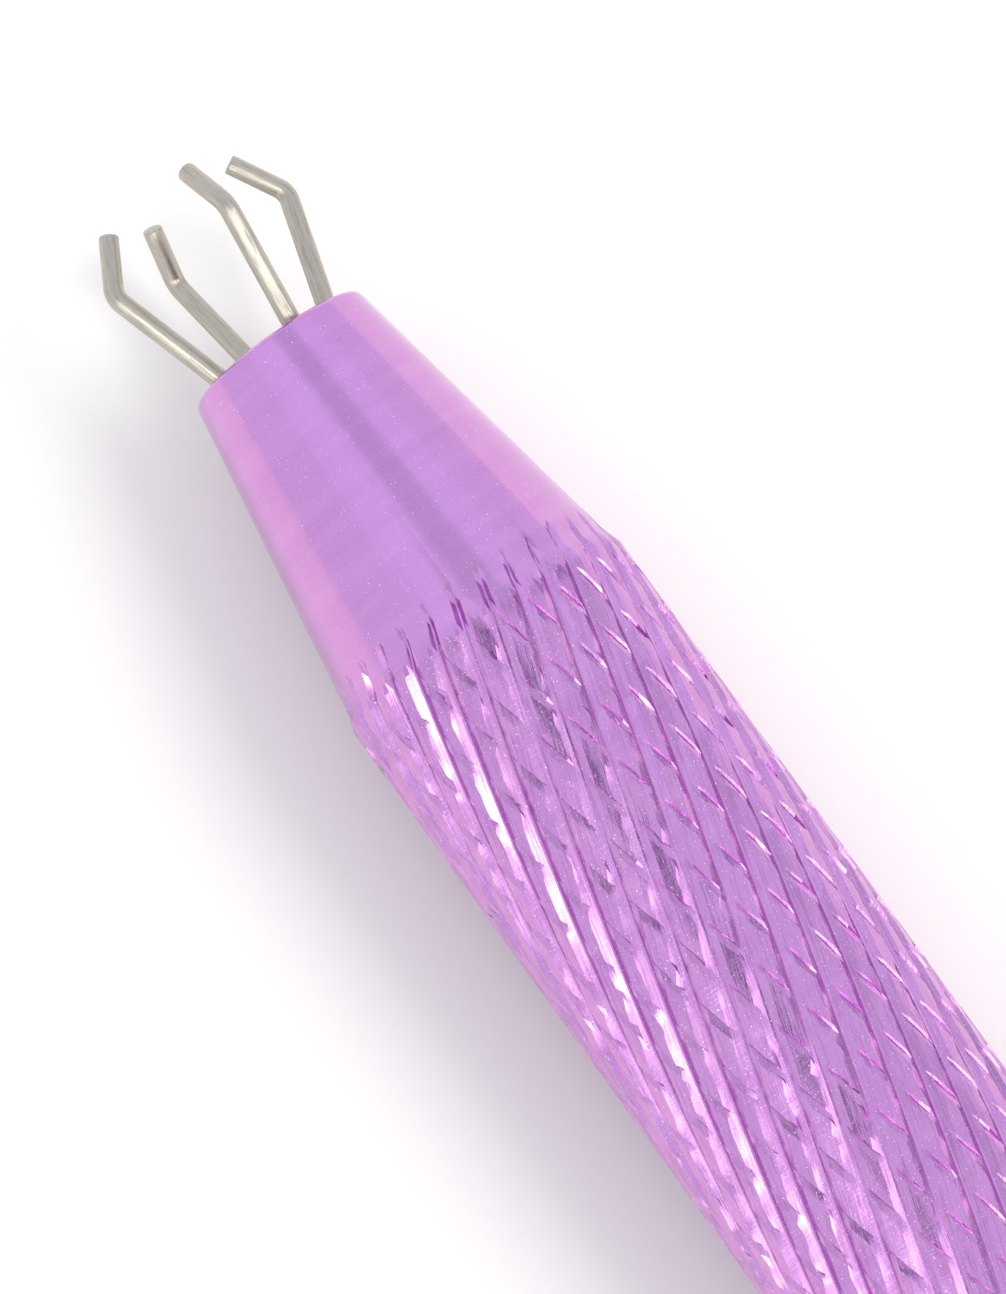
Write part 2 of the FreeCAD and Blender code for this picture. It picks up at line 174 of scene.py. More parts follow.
class BushSizes(bpy.types.PropertyGroup):
    """The bush screwed into the barrel's rear end."""

    thread: length("Thread", "Diameter inside the barrel", 6.38)
    depth: length("Depth", "Part inside the barrel", 6.0)
    flange: length("Flange", "Diameter against the rear face", 6.9)
    thread_edge: length("Thread edge", "Rounding of the thread's front edge", 0.15)
    seat_edge: length("Seat edge", "Rounding of the flange's front edge", 0.04)
    edge: length("Edge", "Rounding of the flange's rear edge", 0.25)
    hole: length("Hole", "Hole that the button's stem slides in", 4.1)
    hole_edge: length("Hole edge", "Bevel of the hole's rear edge", 0.12)
    notch_width: length("Notch width", "Spanner notch in the flange's rim", 0.9)
    notch_depth: length("Notch depth", "How far a notch goes in", 0.5)


class ButtonSizes(bpy.types.PropertyGroup):
    """The push button."""

    stem: length("Stem", "Diameter of the stem", 4.0)
    head: length("Head", "Diameter of the head", 5.8)
    head_length: length("Head length", "Head along the axis", 4.2)
    thumb_edge: length("Thumb edge", "Rounding of the pressed edge", 0.9)
    front_edge: length("Front edge", "Rounding of the head's other edge", 0.3)
    hole: length("Hole", "Blind hole for the rod", 2.02)
    hole_depth: length("Hole depth", "Depth of the blind hole", 7.0)
    hole_edge: length("Hole edge", "Rounding of the hole's rim", 0.05)
    stem_edge: length("Stem edge", "Rounding of the stem's front edge", 0.12)
    neck_edge: length("Neck edge", "Rounding between the stem and the head", 0.1)


class SpringSizes(bpy.types.PropertyGroup):
    """The return spring."""

    diameter: length("Diameter", "Outside of the coil", 5.0)
    wire: length("Spring wire", "Diameter of the wire", 0.45)
    turns: IntProperty(name="Turns", description="Turns of the coil", default=11, min=1)


class Finishes(bpy.types.PropertyGroup):
    """Colours and gloss of the metals."""

    violet: colour("Violet", "Anodised aluminium", (0.632, 0.310, 0.637))
    violet_deep: colour("Deep violet", "The anodised metal's darker bands", (0.578, 0.263, 0.595))
    score: colour("Score", "Drawn-out scores on the knurl", (0.47, 0.19, 0.47))
    speck: colour("Speck", "Bright specks on the anodised metal", (1.0, 0.93, 1.0))
    violet_gloss: share("Violet roughness", "Roughness of the anodised metal", 0.17)
    wire: colour("Wire", "Spring-steel wire", (0.50, 0.46, 0.385))
    wire_dark: colour("Dark wire", "Drawing marks on the wire", (0.30, 0.27, 0.23))
    wire_gloss: share("Wire roughness", "Roughness of the wire", 0.3)
    nickel: colour("Nickel", "Plated button and rod", (0.72, 0.71, 0.69))
    nickel_gloss: share("Nickel roughness", "Roughness of the plating", 0.16)
    brass: colour("Brass", "Guide, stop collar and claw block", (0.72, 0.53, 0.25))
    brass_gloss: share("Brass roughness", "Roughness of the brass", 0.26)
    spring: colour("Spring steel", "Return spring", (0.42, 0.41, 0.40))
    spring_gloss: share("Spring roughness", "Roughness of the return spring", 0.3)
    pin: colour("Pin steel", "Cross pins", (0.55, 0.55, 0.54))
    pin_gloss: share("Pin roughness", "Roughness of the cross pins", 0.22)


class StageSizes(bpy.types.PropertyGroup):
    """Camera, light and floor."""

    heading: angle("Heading", "Camera about the vertical, from +X towards +Y", -35.75)
    elevation: angle("Elevation", "Camera above the floor", 81.12)
    distance: length("Distance", "Camera from the point it looks at", 207.0)
    lens: FloatProperty(
        name="Lens", description="Focal length", default=235.4, unit="CAMERA", subtype="NONE"
    )
    aim_right: length("Aim right", "Point looked at, to the right of the mouth", 5.528)
    aim_down: length("Aim down", "Point looked at, below the mouth", 7.289)
    floor: colour("Floor", "Pale floor", (0.89, 0.86, 0.79))
    sky: colour("Sky", "Glow of the surroundings", (0.95, 0.98, 1.10))
    lamp_distance: length("Lamp distance", "Side lamp from the nose", 900.0)
    lamp_size: length("Lamp size", "Side of the square lamp", 400.0)
    lamp_glow: FloatProperty(
        name="Lamp glow", description="Radiance of the side lamp", default=8.0, min=0.0
    )


class ToolSettings(bpy.types.PropertyGroup):
    """Everything that a user can change, a group for each piece or purpose."""

    barrel: PointerProperty(type=BarrelSizes)
    knurl: PointerProperty(type=KnurlSizes)
    claws: PointerProperty(type=ClawSizes)
    bush: PointerProperty(type=BushSizes)
    button: PointerProperty(type=ButtonSizes)
    spring: PointerProperty(type=SpringSizes)
    finishes: PointerProperty(type=Finishes)
    stage: PointerProperty(type=StageSizes)


class Signal:
    """A shader socket that Python's arithmetic works on."""

    def __init__(self, recipe, socket):
        self.recipe = recipe
        self.socket = socket

    def _maths(self, operation, first, second=0.0):
        return self.recipe.add("ShaderNodeMath", {"operation": operation}, {0: first, 1: second})

    def __add__(self, other):
        return self._maths("ADD", self, other)

    def __radd__(self, other):
        return self._maths("ADD", other, self)

    def __sub__(self, other):
        return self._maths("SUBTRACT", self, other)

    def __rsub__(self, other):
        return self._maths("SUBTRACT", other, self)

    def __mul__(self, other):
        return self._maths("MULTIPLY", self, other)

    def __rmul__(self, other):
        return self._maths("MULTIPLY", other, self)


class Recipe:
    """A material's nodes, ending in one Principled shader."""

    def __init__(self, name):
        self.material = bpy.data.materials.new(name)
        self.material.use_nodes = True
        self.tree = self.material.node_tree
        self.shader = self.tree.nodes["Principled BSDF"]

    def put(self, socket, value):
        if isinstance(value, Signal):
            self.tree.links.new(value.socket, socket)
        elif hasattr(value, "__len__") and len(socket.default_value) == 4:
            socket.default_value = (*value, 1.0)
        else:
            socket.default_value = value

    def add(self, kind, settings=None, sockets=None, output=0):
        """Add a node of any kind and give back one of its outputs."""
        node = self.tree.nodes.new(kind)
        for key, value in (settings or {}).items():
            if key == "stops":
                while len(node.color_ramp.elements) < len(value):
                    node.color_ramp.elements.new(0.5)
                for stop, (position, level) in zip(node.color_ramp.elements, value):
                    stop.position = position
                    stop.color = (level, level, level, 1.0)
            else:
                setattr(node, key, value)
        for key, value in (sockets or {}).items():
            self.put(node.inputs[key], value)
        return Signal(self, node.outputs[output])

    def finish(self, **sockets):
        """Set the shader's sockets, with _ for a space in their names."""
        for key, value in sockets.items():
            self.put(self.shader.inputs[key.replace("_", " ")], value)
        return self.material

    def place(self):
        """The piece's own coordinates, in metres."""
        return self.add("ShaderNodeTexCoord", output="Object")

    def split(self, vector):
        """The X, Y and Z of a vector."""
        first = self.add("ShaderNodeSeparateXYZ", sockets={0: vector})
        return [Signal(self, socket) for socket in first.socket.node.outputs]

    def noise(self, place, cells, detail=2.0, roughness=0.5):
        """Noise from 0 to 1; cells are counts per metre along X, Y and Z."""
        if isinstance(cells, float):
            cells = (cells, cells, cells)
        place = self.add("ShaderNodeVectorMath", {"operation": "MULTIPLY"}, {0: place, 1: cells})
        sockets = {"Vector": place, "Scale": 1.0, "Detail": detail, "Roughness": roughness}
        return self.add("ShaderNodeTexNoise", sockets=sockets)

    def ramp(self, value, low, high):
        """0 below low and 1 above high, straight between them."""
        sockets = {"Value": value, "From Min": low, "From Max": high}
        return self.add("ShaderNodeMapRange", sockets=sockets)

    def mixed(self, first, second, factor):
        """One colour turning into another; 6, 7 and 2 are the node's colour sockets."""
        sockets = {0: factor, 6: first, 7: second}
        return self.add("ShaderNodeMix", {"data_type": "RGBA"}, sockets, 2)

    def bump(self, height, distance):
        return self.add("ShaderNodeBump", sockets={"Height": height, "Distance": distance})


def new_piece(name, points, faces, sharp, body, material, node):
    """Weld a mesh and smooth it up to its sharp edges, from an angle in degrees.

    The piece rides on its body, or on none if body is None, and replaces a node.
    """
    mesh = bpy.data.meshes.new(name)
    mesh.from_pydata(points, [], faces)
    bm = bmesh.new()
    bm.from_mesh(mesh)
    bmesh.ops.remove_doubles(bm, verts=bm.verts, dist=WELD)
    bmesh.ops.recalc_face_normals(bm, faces=bm.faces)
    bm.to_mesh(mesh)
    bm.free()
    mesh.shade_smooth()
    mesh.set_sharp_from_angle(angle=math.radians(sharp))
    mesh.materials.append(material)
    piece = bpy.data.objects.new(name, mesh)
    bpy.context.scene.collection.objects.link(piece)
    if body:
        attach(piece, body)
    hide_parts(node)
    return piece


def ring(station, radius, turns):
    """Points round the tool's axis; turns run from +Y towards +Z."""
    x = np.full_like(turns, MOUTH_X + station)
    return np.column_stack([x, radius * np.cos(turns), AXIS_Z + radius * np.sin(turns)])


def even_turns(count):
    return np.arange(count) * (2 * math.pi / count)


def net(rows, closed=False):
    """Four-sided faces between rings of points; closed joins the last to the first."""
    count, width = len(rows), len(rows[0])
    index = np.arange(count * width).reshape(count, width)
    if closed:
        index = np.vstack([index, index[:1]])
    nxt = np.roll(index, -1, axis=1)
    return np.stack([index[:-1], nxt[:-1], nxt[1:], index[1:]], axis=-1).reshape(-1, 4)


def rounded_line(corners, steps=6):
    """Points of a line through (along, radius, rounding) corners, but for its ends."""
    points = []
    for i, (x, r, rounding) in enumerate(corners):
        here = Vector((x, r))
        if not rounding or i in (0, len(corners) - 1):
            points.append(here)
            continue
        before = (Vector(corners[i - 1][:2]) - here).normalized()
        after = (Vector(corners[i + 1][:2]) - here).normalized()
        half = before.angle(after) / 2
        centre = here + (before + after).normalized() * (rounding / math.sin(half))
        start = here + before * (rounding / math.tan(half)) - centre
        sweep = start.angle_signed(here + after * (rounding / math.tan(half)) - centre)
        for step in range(steps + 1):
            points.append(centre + Matrix.Rotation(-sweep * step / steps, 2) @ start)
    return [(p.x, p.y) for p in points]


def wrapped(turns, pitch):
    """Turns as distances from the nearest whole number of pitches."""
    return (turns + pitch / 2) % pitch - pitch / 2


class Knurl:
    """The knurled surface from a station on the cone to one on the collar.

    Its mesh lines run along the grooves and along the cuts that cross them, so
    every edge of the knurl is an edge of the mesh. Where a line leaves the
    knurl's stretch it stops on a plain ring.
    """

    FLOOR = 0.12  # a groove's flat bottom, as a share of its half width
    FLANK = 0.55  # where a groove's flank changes its slope
    FLANK_DEPTH = 0.56  # depth there, as a share of the groove's
    NEAR = 0.01  # tells a land's edge lines from the others
    RUN_OUT = 1.3  # rise of a groove or cut over the rear bevel, in its own depths
    BURR_SINK = 0.5  # how far a land's edges sink, in burrs
    BURR_BEHIND, BURR_AHEAD = 0.4, 2.2  # how far its two edges wander round, in burrs

    def __init__(self, barrel, knurl):
        self.barrel, self.sizes = barrel, knurl
        self.pitch = 2 * math.pi / knurl.count
        self.groove_rate = math.tan(knurl.groove_lean) / CREST
        self.cut_rate = math.tan(knurl.cut_lean) / CREST
        self.groove_half = knurl.groove_width / 2 / math.cos(knurl.groove_lean) / CREST
        self.on_cut = 1 / math.cos(knurl.cut_lean) / CREST
        self.start = barrel.cone_length - knurl.run_up
        step = self.pitch / self.groove_rate
        self.end = self.start + math.ceil((barrel.collar_start - self.start) / step) * step
        self.bevels = [barrel.cone_length, barrel.cone_length + knurl.lead]
        self.bevels += [barrel.collar_start - knurl.lead, barrel.collar_start]
        if not 0 < self.start < self.bevels[1] < self.bevels[2]:
            raise ValueError("the knurl's run-up, bevels and stretch don't fit the barrel")

    def lines(self):
        """Turns at the mouth of the mesh lines along the grooves and along the cuts.

        The last value is the number of lines of the second kind round the barrel.
        """
        edges = (-1.0, -self.FLANK, -self.FLOOR, self.FLOOR, self.FLANK, 1.0)
        groove = [t * self.groove_half for t in edges] + [self.pitch / 2]
        wall, width = self.sizes.cut_wall, self.sizes.cut_width
        cut = [t * self.on_cut for t in (-wall, 0.0, width / 2, width)]
        spare = self.pitch + cut[0] - cut[-1]
        cut += [cut[-1] + spare * t for t in (0.25, 0.5, 0.75)]
        a_lines = [self.pitch * k + t for k in range(self.sizes.count) for t in groove]
        a_lines.append(a_lines[0] + 2 * math.pi)
        both = self.groove_rate + self.cut_rate
        first = math.floor(both * self.start / self.pitch) - 1
        last = math.ceil((2 * math.pi + both * self.end) / self.pitch) + 1
        b_lines = [self.pitch * k + t for k in range(first, last) for t in cut]
        return np.array(a_lines), np.array(b_lines), self.sizes.count * len(cut)

    def wander(self, shape, round_trip):
        """Random draws for the burrs, the same where the surface meets itself."""
        rng = np.random.default_rng(self.sizes.seed)
        draws = rng.normal(size=(2, shape[0] - 1, shape[1]))
        seam = np.roll(draws[:, :1], round_trip, axis=2)
        return np.concatenate([draws, seam], axis=1)

    def radii(self, station, across, along, land):
        """The surface from the axis, cut by whichever is deepest."""
        barrel, sizes, bevels = self.barrel, self.sizes, self.bevels
        run_out = np.clip((station - bevels[2]) / (bevels[3] - bevels[2]), 0, 1)
        run_in = np.clip(1 - (station - bevels[0]) / sizes.lead, 0, 1)
        vee = np.interp(across, [self.FLOOR, self.FLANK, 1.0], [1.0, self.FLANK_DEPTH, 0.0])
        slot = np.clip((self.FLANK - across) / (self.FLANK - self.FLOOR), 0, 1)
        groove = CREST - sizes.groove_depth * vee - sizes.nose_depth * slot * run_in
        sloping = np.clip(1 - along / sizes.cut_width, 0, 1)
        steep = np.clip(1 + along / sizes.cut_wall, 0, 1)
        cut = CREST - sizes.cut_depth * np.minimum(sloping, steep) * land
        groove = groove + run_out * sizes.groove_depth * self.RUN_OUT
        cut = cut + run_out * sizes.cut_depth * self.RUN_OUT
        nose, cone = barrel.nose_diameter / 2, barrel.cone_diameter / 2
        collar = barrel.collar_diameter / 2
        plain_radii = [nose, cone, CREST, CREST, collar, collar]
        plain = np.interp(station, [0, *bevels, 2 * self.end], plain_radii)
        return np.minimum(np.minimum(plain, groove), cut)

    def net(self):
        """Its points, its faces and the turns of the points on its first ring."""
        a_lines, b_lines, round_trip = self.lines()
        a, b = np.meshgrid(a_lines, b_lines, indexing="ij")
        station = (b - a) / (self.groove_rate + self.cut_rate)
        for bevel in self.bevels:
            nearest = np.abs(station - bevel).argmin(axis=1)
            station[np.arange(len(a_lines)), nearest] = bevel
        margin = 0.05 * MM
        low = station < self.start + margin
        high = station > self.end - margin
        station[low] = self.start
        station[high] = self.end
        turn = a + self.groove_rate * station
        b = turn + self.cut_rate * station

        side = wrapped(a, self.pitch) / self.groove_half
        across = np.abs(side)
        along = wrapped(b, self.pitch) / self.on_cut
        land = across > 1 - self.NEAR
        edge = land & (across < 1 + self.NEAR)
        edge &= (station > self.bevels[1]) & (station < self.bevels[2])
        rough = self.sizes.burr * edge
        wander = self.wander(station.shape, round_trip)
        sink = np.abs(wander[0]) * rough * self.BURR_SINK
        radius = self.radii(station, across, along, land) - sink
        reach = np.where(side > 0, self.BURR_AHEAD, self.BURR_BEHIND)
        turn = turn + wander[1] * rough * reach / CREST
        points = ring(station.ravel(), radius.ravel(), turn.ravel())

        index = np.arange(station.size).reshape(station.shape)
        squares = [index[:-1, :-1], index[1:, :-1], index[1:, 1:], index[:-1, 1:]]
        faces = np.stack(squares, axis=-1)
        ends = np.array([low.ravel(), high.ravel()])
        stopped = ends[:, faces].all(axis=-1).any(axis=0)
        return points, faces[~stopped], a_lines[:-1] + self.groove_rate * self.start


class ToolOperator:
    """What every operator here shares."""

    bl_options = {"REGISTER", "UNDO"}

    @property
    def settings(self):
        return bpy.context.scene.pick_up_tool


class PICKUP_OT_barrel(ToolOperator, bpy.types.Operator):
    """Make the knurled barrel with its cone nose and bores"""

    bl_idname = "pick_up_tool.barrel"
    bl_label = "Barrel"

    def execute(self, context):
        barrel = self.settings.barrel
        knurl = Knurl(barrel, self.settings.knurl)
        points, faces, turns = knurl.net()
        rear = BARREL_HIGH.x - MOUTH_X
        slope = (barrel.cone_diameter - barrel.nose_diameter) / 2 / barrel.cone_length
        corners = [
            (knurl.start, barrel.nose_diameter / 2 + slope * knurl.start, 0),
            (0, barrel.nose_diameter / 2, barrel.nose_edge),
            (0, barrel.mouth_diameter / 2, barrel.mouth_edge),
            (barrel.shoulder, barrel.mouth_diameter / 2, 0),
            (barrel.shoulder, barrel.rear_bore / 2, 0),
            (barrel.bush_start, barrel.rear_bore / 2, 0),
            (barrel.bush_start, barrel.bush_bore / 2, 0),
            (rear, barrel.bush_bore / 2, 0),
            (rear, barrel.collar_diameter / 2, barrel.collar_edge),
            (knurl.end, barrel.collar_diameter / 2, 0),
        ]
        rows = [ring(x, r, turns) for x, r in rounded_line(corners)]
        new_piece(
            "barrel_body",
            np.concatenate([points, *rows]).tolist(),
            np.concatenate([faces, net(rows) + len(points)]).tolist(),
            sharp=12,
            body="barrel",
            material=anodised(self.settings),
            node="barrel",
        )
        return {"FINISHED"}


def anodised(settings):
    """Violet anodised aluminium: turning lines, faint clouding and bright specks.

    Between the knurl's ends, scores run along its grooves.
    """
    finishes, barrel, knurl = settings.finishes, settings.barrel, settings.knurl
    name = "anodised_violet"
    if name in bpy.data.materials:
        return bpy.data.materials[name]
    recipe = Recipe(name)
    place = recipe.place()
    lines = recipe.noise(place, (24000.0, 700.0, 700.0), 3.0, 0.6)
    bands = recipe.noise(place, (1900.0, 160.0, 160.0))
    grain = recipe.noise(place, 21000.0)
    x, y, z = recipe.split(place)
    turn = recipe.add("ShaderNodeMath", {"operation": "ARCTAN2"}, {0: z - AXIS_Z, 1: y})
    across = turn * CREST - x * math.tan(knurl.groove_lean)
    unrolled = recipe.add("ShaderNodeCombineXYZ", sockets={0: x, 1: across})
    scores = recipe.noise(unrolled, (900.0, 13000.0, 1.0), 3.0, 0.6)
    front, rear = MOUTH_X + barrel.cone_length, MOUTH_X + barrel.collar_start
    knurled = recipe.ramp(x, front, front + knurl.lead)
    knurled = knurled - recipe.ramp(x, rear - knurl.lead, rear)

    specks = recipe.ramp(grain + knurled * 0.02, 0.70, 0.75)
    tone = recipe.ramp(bands * 0.6 + lines * 0.4, 0.30, 0.62)
    base = recipe.mixed(tuple(finishes.violet_deep), tuple(finishes.violet), tone)
    scored = recipe.ramp(scores, 0.5, 0.68) * knurled
    base = recipe.mixed(base, tuple(finishes.score), scored * 0.6)
    base = recipe.mixed(base, tuple(finishes.speck), specks * 0.85)
    roughness = finishes.violet_gloss + (lines - 0.5) * 0.16 + specks * 0.2
    height = lines * 0.8 + grain * 0.25 + (scores - 0.5) * knurled * 6.0
    return recipe.finish(
        Base_Color=base,
        Metallic=1.0,
        Roughness=roughness,
        Coat_Weight=0.15,
        Coat_Roughness=0.08,
        Normal=recipe.bump(height, 1.2e-6),
    )


def turned_metal(name, base, roughness, stain=0.8):
    """A lathe-turned metal: fine rings round the tool's axis and faint stains."""
    if name in bpy.data.materials:
        return bpy.data.materials[name]
    recipe = Recipe(name)
    place = recipe.place()
    rings = recipe.noise(place, (16000.0, 500.0, 500.0), 3.0, 0.6)
    stains = recipe.noise(place, 900.0, 3.0)
    dark = tuple(part * stain for part in base)
    return recipe.finish(
        Base_Color=recipe.mixed(dark, tuple(base), recipe.ramp(stains, 0.3, 0.6)),
        Metallic=1.0,
        Roughness=roughness + (rings - 0.5) * 0.2,
        Normal=recipe.bump(rings, 1.2e-6),
    )


def nickel_plate(finishes):
    """The bright plating of the button and the rod."""
    return turned_metal("nickel_plate", finishes.nickel, finishes.nickel_gloss, 0.9)


def drawn_wire(finishes):
    """Drawn spring-steel wire, with dark marks along it.

    Its UV map runs round and along the wire in millimetres, so cells are per millimetre.
    """
    recipe = Recipe("claw_wire_steel")
    along = recipe.add("ShaderNodeUVMap", {"uv_map": "Wire"})
    marks = recipe.noise(along, (22.0, 1.1, 1.0), 3.0, 0.6)
    scratches = recipe.noise(along, (60.0, 3.0, 1.0))
    pits = recipe.noise(recipe.place(), 16000.0)
    dark = recipe.ramp(marks, 0.50, 0.68)
    base = recipe.mixed(tuple(finishes.wire), tuple(finishes.wire_dark), dark * 0.75)
    return recipe.finish(
        Base_Color=base,
        Metallic=1.0,
        Roughness=finishes.wire_gloss + dark * 0.14 + (pits - 0.5) * 0.15,
        Normal=recipe.bump(marks * 0.7 + scratches * 0.4 + pits * 0.2, 3.0e-6),
    )


class PICKUP_OT_claws(ToolOperator, bpy.types.Operator):
    """Make the four hooked wires"""

    bl_idname = "pick_up_tool.claws"
    bl_label = "Claws"

    COUNT = 4
    SIDES = 32
    HEAD_STEPS, ARM_STEPS, BEND_STEPS, HOOK_STEPS, TIP_STEPS = 12, 13, 14, 5, 4
    HEAD_SWEEP = 0.73 * math.pi  # from the back of the head to just past its neck

    def execute(self, context):
        material = drawn_wire(self.settings.finishes)
        for number in range(1, self.COUNT + 1):
            self.make(number, material)
        return {"FINISHED"}

    def centre_line(self, sizes):
        """Spots of the wire from its head: (along, outward) point, heading, radius."""
        arm = Vector((-math.cos(sizes.splay), math.sin(sizes.splay)))
        hook = Vector((-math.cos(sizes.hook_lean), -math.sin(sizes.hook_lean)))
        root = Vector((sizes.pivot_depth, sizes.pivot_radius))
        corner = root + arm * sizes.arm
        end = corner + hook * sizes.hook
        wire, head, edge = sizes.wire / 2, sizes.root / 2, sizes.tip_edge
        neck = math.sqrt(head**2 - wire**2)
        half = arm.angle(hook) / 2
        cut = sizes.bend * math.tan(half)
        before, after = corner - arm * cut, corner + hook * cut

        line = []
        for step in range(self.HEAD_STEPS + 1):
            along = min(-head * math.cos(self.HEAD_SWEEP * step / self.HEAD_STEPS), neck)
            line.append((root + arm * along, arm, math.sqrt(max(head**2 - along**2, 0.0))))
        for step in range(self.ARM_STEPS):
            line.append(((root + arm * neck).lerp(before, step / self.ARM_STEPS), arm, wire))
        centre = corner + (hook - arm).normalized() * (sizes.bend / math.cos(half))
        start = before - centre
        sweep = start.angle_signed(after - centre)
        for step in range(self.BEND_STEPS + 1):
            turn = Matrix.Rotation(-sweep * step / self.BEND_STEPS, 2)
            line.append((centre + turn @ start, turn @ arm, wire))
        for step in range(1, self.HOOK_STEPS + 1):
            line.append((after.lerp(end - hook * edge, step / self.HOOK_STEPS), hook, wire))
        for step in range(1, self.TIP_STEPS + 1):
            lean = math.pi / 2 * step / self.TIP_STEPS
            point = end - hook * edge * (1 - math.sin(lean))
            line.append((point, hook, wire - edge * (1 - math.cos(lean))))
        line.append((end, hook, 0.0))
        return line

    def make(self, number, material):
        """Sweep one wire and give it its UV map."""
        sizes = self.settings.claws
        roll = sizes.roll + (number - 1) * 2 * math.pi / self.COUNT
        outward = Vector((0.0, math.cos(roll), math.sin(roll)))
        side = ALONG.cross(outward)
        spots = [
            (
                Vector((MOUTH_X, 0.0, AXIS_Z)) + ALONG * point.x + outward * point.y,
                ALONG * -heading.y + outward * heading.x,
                radius,
            )
            for point, heading, radius in self.centre_line(sizes)
        ]
        turns = even_turns(self.SIDES)
        rows = [
            [middle + (normal * math.cos(t) + side * math.sin(t)) * radius for t in turns]
            for middle, normal, radius in spots
        ]
        piece = new_piece(
            f"claw_{number}",
            [tuple(point) for row in rows for point in row],
            net(rows).tolist(),
            sharp=35,
            body=f"prong_{number}",
            material=material,
            node=f"prong_{number}",
        )
        self.wrap(piece.data, spots, side, sizes.wire / 2)

    def wrap(self, mesh, spots, side, radius):
        """Give each corner its place round the wire and along it, in millimetres."""
        layer = mesh.uv_layers.new(name="Wire")
        runs = [0.0]
        for (here, _, _), (there, _, _) in zip(spots, spots[1:]):
            runs.append(runs[-1] + (there - here).length)
        places = []
        for vertex in mesh.vertices:
            gaps = [(vertex.co - middle).length_squared for middle, _, _ in spots]
            nearest = gaps.index(min(gaps))
            middle, normal, _ = spots[nearest]
            out = vertex.co - middle
            places.append((math.atan2(out.dot(side), out.dot(normal)), runs[nearest]))
        for polygon in mesh.polygons:
            furthest = max(places[v][0] for v in polygon.vertices)
            for loop, vertex in zip(polygon.loop_indices, polygon.vertices):
                turn, run = places[vertex]
                if turn < 0 and furthest - turn > math.pi:
                    turn += 2 * math.pi
                layer.data[loop].uv = (turn * radius / MM, run / MM)


class PICKUP_OT_rear_bush(ToolOperator, bpy.types.Operator):
    """Make the notched bush in the barrel's rear end"""

    bl_idname = "pick_up_tool.rear_bush"
    bl_label = "Rear bush"

    SIDES = 144
    WALL = 0.004  # turn over which the wall of a notch rises

    def execute(self, context):
        sizes = self.settings.bush
        front = BUSH_LOW.x - MOUTH_X
        face = front + sizes.depth
        rear = BUSH_HIGH.x - MOUTH_X
        corners = [
            (front, sizes.hole / 2, 0),
            (front, sizes.thread / 2, sizes.thread_edge),
            (face, sizes.thread / 2, 0),
            (face, sizes.flange / 2, sizes.seat_edge),
            (rear, sizes.flange / 2, sizes.edge),
            (rear, sizes.hole / 2 + sizes.hole_edge, 0),
            (rear - sizes.hole_edge, sizes.hole / 2, 0),
        ]
        floor = sizes.flange / 2 - sizes.notch_depth
        edge = math.asin(sizes.notch_width / 2 / floor)
        turns = even_turns(self.SIDES)
        for notch in (0, math.pi):
            for offset in (-edge, -edge - self.WALL, edge, edge + self.WALL):
                nearest = np.abs(np.angle(np.exp(1j * (turns - notch - offset)))).argmin()
                turns[nearest] = (notch + offset) % (2 * math.pi)
        turns = np.sort(turns)
        away = np.abs(wrapped(turns, math.pi))
        inside = away < edge + self.WALL / 4
        flat = floor / np.cos(np.where(inside, away, 0))
        rows = []
        for x, r in rounded_line(corners, 4):
            notched = inside & (x > face + WELD)
            rows.append(ring(x, np.where(notched, np.minimum(r, flat), r), turns))
        new_piece(
            "rear_bush_body",
            np.concatenate(rows).tolist(),
            net(rows, closed=True).tolist(),
            sharp=25,
            body="barrel",
            material=anodised(self.settings),
            node="rear_bush",
        )
        return {"FINISHED"}


class PICKUP_OT_push_button(ToolOperator, bpy.types.Operator):
    """Make the push button"""

    bl_idname = "pick_up_tool.push_button"
    bl_label = "Push button"

    SIDES = 128

    def execute(self, context):
        sizes = self.settings.button
        front = BUTTON_LOW.x - MOUTH_X
        rear = BUTTON_HIGH.x - MOUTH_X
        neck = rear - sizes.head_length
        corners = [
            (front + sizes.hole_depth, 0, 0),
            (front + sizes.hole_depth, sizes.hole / 2, 0),
            (front, sizes.hole / 2, sizes.hole_edge),
            (front, sizes.stem / 2, sizes.stem_edge),
            (neck, sizes.stem / 2, sizes.neck_edge),
            (neck, sizes.head / 2, sizes.front_edge),
            (rear, sizes.head / 2, sizes.thumb_edge),
            (rear, 0, 0),
        ]
        turns = even_turns(self.SIDES)
        rows = [ring(x, r, turns) for x, r in rounded_line(corners, 8)]
        new_piece(
            "push_button_body",
            np.concatenate(rows).tolist(),
            net(rows).tolist(),
            sharp=35,
            body="plunger",
            material=nickel_plate(self.settings.finishes),
            node="push_button",
        )
        return {"FINISHED"}


